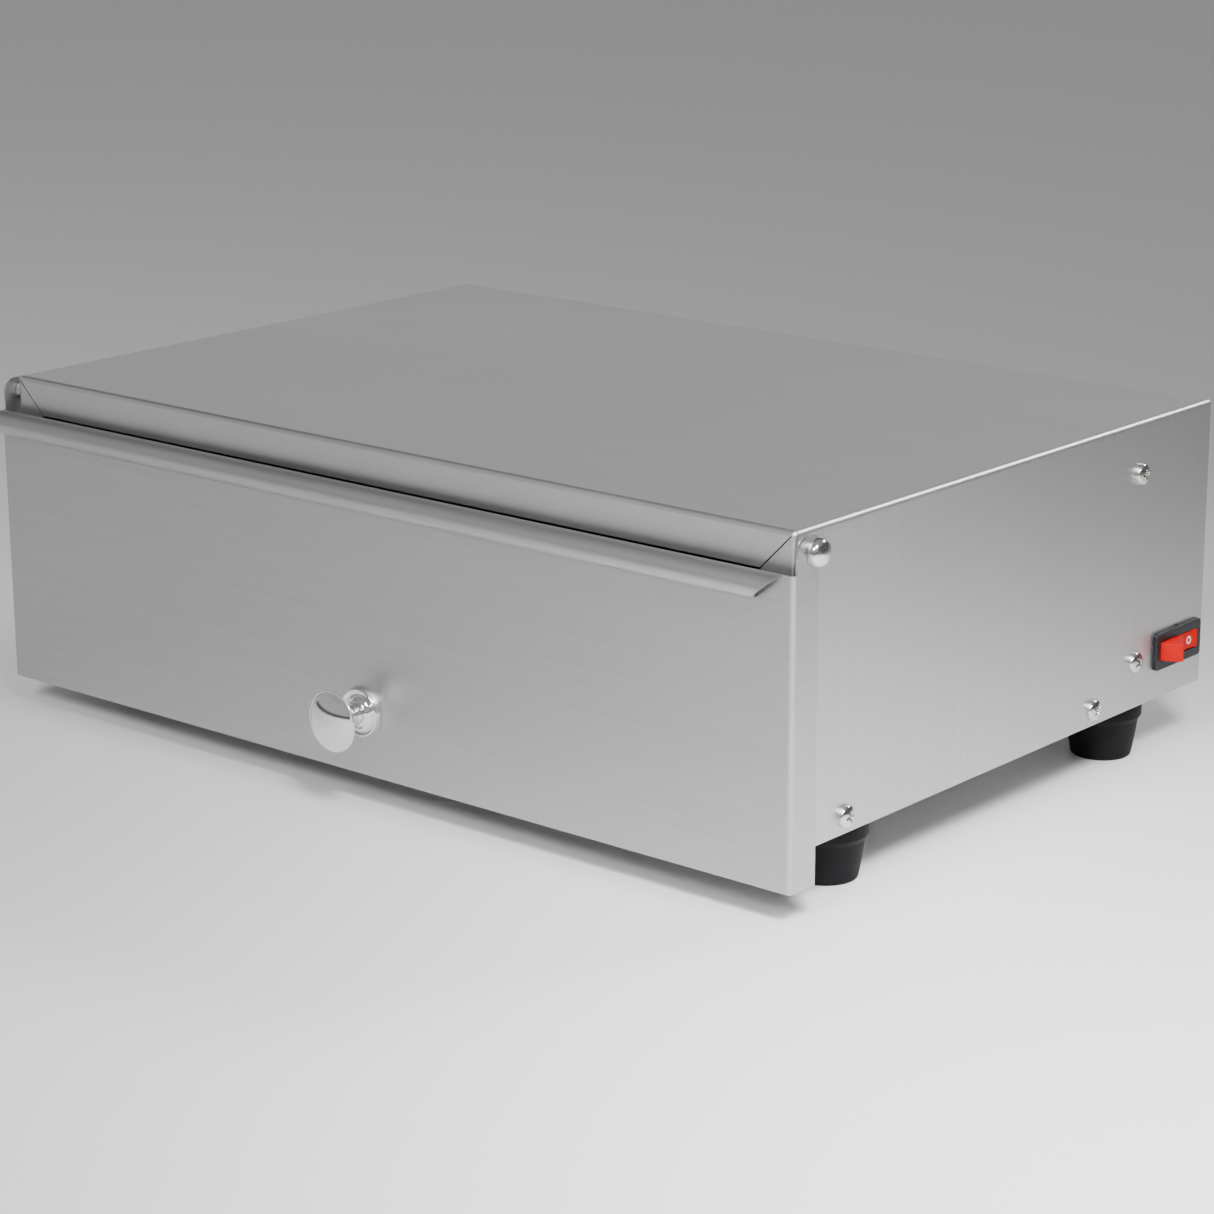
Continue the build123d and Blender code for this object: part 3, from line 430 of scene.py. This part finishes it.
def build_pivots():
    """Button head shoulder screws that the door hangs on."""
    radius, height, dome_radius, rim_height = 5.4, 4.2, 6.2, 0.7
    outline = [(0, height)]
    outline += arc((0, height - dome_radius), dome_radius, 90, 62, 8)[1:]
    dome_edge, dome_end = outline[-1]
    outline += [(dome_edge + (radius - dome_edge) * math.sin(step * math.pi / 12),
                 rim_height + (dome_end - rim_height) * math.cos(step * math.pi / 12))
                for step in range(1, 7)]
    outline += [(radius, 0.15), (radius - 0.15, 0.0), (2.5, 0.0), (2.5, -10.6), (2.1, -11.0), (0, -11.0)]
    for side, name in ((1, "right"), (-1, "left")):
        low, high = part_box("pivot_washer_" + name)
        x = high.x if side > 0 else low.x
        middle = (low + high) / 2
        bm = bmesh.new()
        turned(bm, outline, (x, middle.y, middle.z), (side, 0, 0))
        make_piece(bm, "pivot_" + name, SCREW_STEEL, "cabinet",
                   ["pivot_screw_" + name], sharp=45)


# ---- knob ----
def build_knob():
    """Chrome knob: thin domed head on a flared neck, over a dished rosette with a raised rim."""
    low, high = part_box("knob_rosette")
    middle = (low + high) / 2
    base = (middle.x, high.y, middle.z)
    rosette = [(0, 3.9), (4.9, 3.9), (5.3, 3.6), (5.9, 2.6), (6.8, 1.9), (7.9, 1.6), (8.6, 1.7),
               (8.9, 2.1)]
    rosette += arc((9.4, 2.1), 0.5, 180, 0, 8)[1:]
    rosette += [(10.1, 1.5), (10.4, 0.8), (10.4, 0.2), (10.2, 0.0), (0, 0.0)]
    bm = bmesh.new()
    turned(bm, rosette, base, (0, -1, 0), 128)
    make_piece(bm, "rosette", CHROME, "door", ["knob_rosette"], sharp=50)

    reach, dome_radius, rim_round = 21.0, 21.6, 0.5
    head = [(0, reach)]
    head += arc((0, reach - dome_radius), dome_radius, 90, 56.6, 14)[1:]
    head += arc((12.0, 17.1), rim_round, 50, -60, 8)
    head += [(11.6, 16.2), (10.2, 15.1), (8.7, 13.9), (7.3, 12.4), (6.2, 10.8), (5.4, 9.2),
             (4.9, 7.6), (4.6, 6.2), (4.6, 4.0), (0, 4.0)]
    bm = bmesh.new()
    turned(bm, head, base, (0, -1, 0), 128)
    make_piece(bm, "knob", CHROME, "door", ["knob_head"], sharp=50)


# ---- feet ----
def build_feet():
    """Tapered rubber feet with a thick collar, a deep bore and a screw hole."""
    hole, bore, bore_depth, top = 2.5, 7.0, 17.0, 26.0
    outline = [(hole, bore_depth), (bore, bore_depth), (bore, 0.5), (7.5, 0.0), (11.4, 0.0)]
    outline += arc((11.4, 1.3), 1.3, -90, -5, 6)[1:]
    outline += [(13.9, 8.0), (15.0, 15.4), (15.15, 16.0), (15.5, 16.5)]
    outline += arc((15.2, 18.4), 1.2, -45, 0, 4)
    outline += [(16.4, 24.8)] + arc((15.4, top - 1.0), 1.0, 0, 90, 5)[1:]
    outline += [(hole, top), (hole, bore_depth)]
    for name in ("foot_front_left", "foot_front_right", "foot_rear_left", "foot_rear_right"):
        low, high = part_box(name)
        middle = (low + high) / 2
        bm = bmesh.new()
        turned(bm, outline, (middle.x, middle.y, 0), (0, 0, 1), 72)
        make_piece(bm, name + "_rubber", RUBBER, "cabinet", [name], sharp=40)


# ---- rocker ----
ROCKER_RADIUS, ROCKER_WIDTH, VALLEY = 14.2, 7.8, 3.4
TIP_ANGLE, SKIRT_ANGLE, TILT = 30.5, 18.0, 18.0


def face_circle():
    """Centre height and radius of the arc through both tips and the valley."""
    tip_x = ROCKER_RADIUS * math.sin(math.radians(TIP_ANGLE))
    tip_y = ROCKER_RADIUS * math.cos(math.radians(TIP_ANGLE))
    rise = tip_x - VALLEY
    radius = (tip_y ** 2 + rise ** 2) / (2 * rise)
    return VALLEY + radius, radius, tip_y


def face_height(y):
    """How far the concave face stands off the rocker's axis."""
    centre, radius, tip_y = face_circle()
    return centre - math.sqrt(radius ** 2 - y ** 2)


def place_rocker(bm):
    """Tilt the level rocker and move it to its axis."""
    at = Vector(joints["switch_rocker_hinge"]["pos_m"])
    bmesh.ops.transform(bm, verts=bm.verts, matrix=Matrix.Translation(at) @
                        Matrix.Rotation(math.radians(TILT), 4, "Z"))


def build_rocker():
    """Rocker with softened edges and a pin on each side."""
    tip_y = face_circle()[2]
    steps = 24
    outline = [(face_height(y), y) for y in
               [-tip_y + 2 * tip_y * step / steps for step in range(steps + 1)]]
    turns = [math.radians(TIP_ANGLE - (TIP_ANGLE + SKIRT_ANGLE) * step / 10) for step in range(1, 11)]
    side = [(ROCKER_RADIUS * math.sin(turn), ROCKER_RADIUS * math.cos(turn)) for turn in turns]
    outline += side + [(x, -y) for x, y in reversed(side)]
    bm = bmesh.new()
    verts = [bm.verts.new((x * MM, y * MM, -ROCKER_WIDTH / 2 * MM)) for x, y in outline]
    cap = bm.faces.new(verts)
    top = bmesh.ops.extrude_face_region(bm, geom=[cap])["geom"]
    bmesh.ops.translate(bm, verts=[item for item in top if isinstance(item, bmesh.types.BMVert)],
                        vec=(0, 0, ROCKER_WIDTH * MM))
    bmesh.ops.recalc_face_normals(bm, faces=bm.faces)
    sharp_edges = [edge for edge in bm.edges if edge.calc_face_angle(0) > math.radians(35)]
    bmesh.ops.bevel(bm, geom=sharp_edges, offset=0.5 * MM, offset_type="OFFSET", affect="EDGES",
                    segments=3, profile=0.5, material=-1, clamp_overlap=True)
    for side in (-1, 1):
        pin = [(1.2, -0.5), (1.2, 1.4), (1.1, 1.5), (0, 1.5)]
        turned(bm, [(0, -0.5)] + pin, (0, 0, side * ROCKER_WIDTH / 2 * MM), (0, 0, side), 32)
    place_rocker(bm)
    make_piece(bm, "rocker_key", RED_PLASTIC, "rocker", ["switch_rocker"])


def build_marks():
    """Thin raised paint: a ring on the rear half of the rocker and a bar on the front half."""
    lift, sink = 0.06, 0.15
    bm = bmesh.new()
    ring_y, inner, outer, count = 7.2, 1.15, 1.75, 48
    rows = []
    for radius, offset in ((inner, -sink), (inner, lift), (outer, lift), (outer, -sink)):
        row = []
        for step in range(count):
            angle = math.tau * step / count
            y = ring_y + 0.85 * radius * math.sin(angle)
            row.append(bm.verts.new(((face_height(y) + offset) * MM, y * MM,
                                     radius * math.cos(angle) * MM)))
        rows.append(row)
    for first, second in zip(rows, rows[1:] + rows[:1]):
        for i in range(count):
            bm.faces.new((first[i], second[i], second[(i + 1) % count], first[(i + 1) % count]))
    place_rocker(bm)
    make_piece(bm, "rocker_ring_mark", MARK_PAINT, "rocker")
    bm = bmesh.new()
    steps, half_width, half_length, middle = 8, 1.7, 0.3, -7.2
    rows = []
    for step in range(steps + 1):
        y = middle + half_length * (2 * step / steps - 1)
        rows.append([bm.verts.new(((face_height(y) + offset) * MM, y * MM, z * MM))
                     for z, offset in ((-half_width, -sink), (-half_width, lift), (half_width, lift),
                                       (half_width, -sink))])
    for first, second in zip(rows, rows[1:]):
        for i in range(4):
            bm.faces.new((first[i], second[i], second[(i + 1) % 4], first[(i + 1) % 4]))
    bm.faces.new(rows[0])
    bm.faces.new(rows[-1])
    place_rocker(bm)
    make_piece(bm, "rocker_bar_mark", MARK_PAINT, "rocker")


# ---- floor, light and camera ----
def build_stage():
    """Plain pale floor, wide enough to fill the view."""
    bm = bmesh.new()
    bmesh.ops.create_grid(bm, x_segments=1, y_segments=1, size=9.0)
    mesh = bpy.data.meshes.new("floor")
    bm.to_mesh(mesh)
    bm.free()
    floor = bpy.data.objects.new("floor", mesh)
    bpy.context.scene.collection.objects.link(floor)
    material, shader, add, join = new_material("studio floor")
    set_inputs(shader, Roughness=0.65, Specular_IOR_Level=0.3)
    noise = add("ShaderNodeTexNoise")
    set_inputs(noise, Scale=3.0, Detail=4.0)
    join(tint(add, join, noise.outputs["Fac"], (0.74, 0.74, 0.745), (0.78, 0.78, 0.785)),
         shader.inputs["Base Color"])
    mesh.materials.append(material)


def area_light(name, at, toward, size, power, spread):
    """Soft rectangular light that looks at a point; the spread of its beam is in degrees."""
    data = bpy.data.lights.new(name, "AREA")
    data.shape = "RECTANGLE"
    data.size, data.size_y = size
    data.energy = power
    data.spread = math.radians(spread)
    lamp = bpy.data.objects.new(name, data)
    lamp.location = at
    lamp.rotation_euler = (Vector(toward) - Vector(at)).to_track_quat("-Z", "Y").to_euler()
    bpy.context.scene.collection.objects.link(lamp)


def height_ramp(add, join, height, stops):
    """Brightness of the room by height above the horizon."""
    node = add("ShaderNodeValToRGB")
    band = node.color_ramp
    while len(band.elements) < len(stops):
        band.elements.new(0.5)
    for element, (position, value) in zip(band.elements, stops):
        element.position = position
        element.color = (value, value, value, 1)
    join(height, node.inputs["Fac"])
    return node.outputs["Color"]


def blend_by(add, join, value, ends, first, second):
    """Blend two colours smoothly while a value runs from one end to the other."""
    step = add("ShaderNodeMapRange", interpolation_type="SMOOTHSTEP")
    set_inputs(step, From_Min=ends[0], From_Max=ends[1])
    join(value, step.inputs["Value"])
    node = add("ShaderNodeMix", data_type="RGBA")
    join(step.outputs["Result"], node.inputs["Factor"])
    join(first, node.inputs["A"])
    join(second, node.inputs["B"])
    return node.outputs["Result"]


def build_light():
    """Studio room: pale low backdrop at the left rear, a darker room elsewhere, and soft lamps."""
    world = bpy.data.worlds.new("studio")
    bpy.context.scene.world = world
    world.use_nodes = True
    tree = world.node_tree
    tree.nodes.clear()
    add, join = nodes_of(tree)
    place = add("ShaderNodeTexCoord")
    split = add("ShaderNodeSeparateXYZ")
    join(place.outputs["Generated"], split.inputs["Vector"])
    left = height_ramp(add, join, split.outputs["Z"],
                       ((0.0, 1.6), (0.19, 1.6), (0.28, 0.34), (0.38, 0.10), (0.75, 0.10), (1.0, 0.4)))
    right = height_ramp(add, join, split.outputs["Z"],
                        ((0.0, 0.10), (0.15, 0.12), (0.30, 0.20), (0.50, 0.30), (0.75, 0.3), (1.0, 0.4)))
    ahead = height_ramp(add, join, split.outputs["Z"],
                        ((0.0, 0.08), (0.05, 0.12), (0.10, 0.46), (0.40, 0.44), (0.6, 0.26), (1.0, 0.4)))
    behind = blend_by(add, join, split.outputs["X"], (0.35, -0.75), right, left)
    room = blend_by(add, join, split.outputs["Y"], (-0.3, 0.2), ahead, behind)
    background = add("ShaderNodeBackground")
    join(room, background.inputs["Color"])
    output = add("ShaderNodeOutputWorld")
    join(background.outputs["Background"], output.inputs["Surface"])
    area_light("key", (1.0, -0.7, 1.1), (0.46, -0.2, 0), (0.4, 0.4), 4.3, 40)
    area_light("fill", (0.5, -1.9, 1.4), (-0.4, -0.5, 0), (0.8, 0.6), 10.5, 80)
    area_light("back", (0.7, 1.5, 1.3), (0.1, 0, 0.15), (0.7, 0.3), 1.0, 32)


def build_camera():
    """Camera at the right front, looking slightly down."""
    azimuth, elevation, roll = math.radians(40.497), math.radians(15.862), math.radians(-0.237)
    back = Vector((math.sin(azimuth) * math.cos(elevation), -math.cos(azimuth) * math.cos(elevation),
                   math.sin(elevation)))
    target = Vector((-0.0059, 0.0178, 0.0476))
    data = bpy.data.cameras.new("camera")
    data.sensor_width = 36.0
    data.lens = 99.4
    data.clip_end = 40.0
    camera = bpy.data.objects.new("camera", data)
    camera.location = target + 1.45 * back
    look = (-back).to_track_quat("-Z", "Y").to_matrix()
    camera.rotation_euler = (look @ Matrix.Rotation(roll, 3, "Z")).to_euler()
    bpy.context.scene.collection.objects.link(camera)
    bpy.context.scene.camera = camera


finish_cad_nodes()
build_side_screws()
build_rear_screws()
build_pivots()
build_knob()
build_feet()
build_rocker()
build_marks()
build_stage()
build_light()
build_camera()
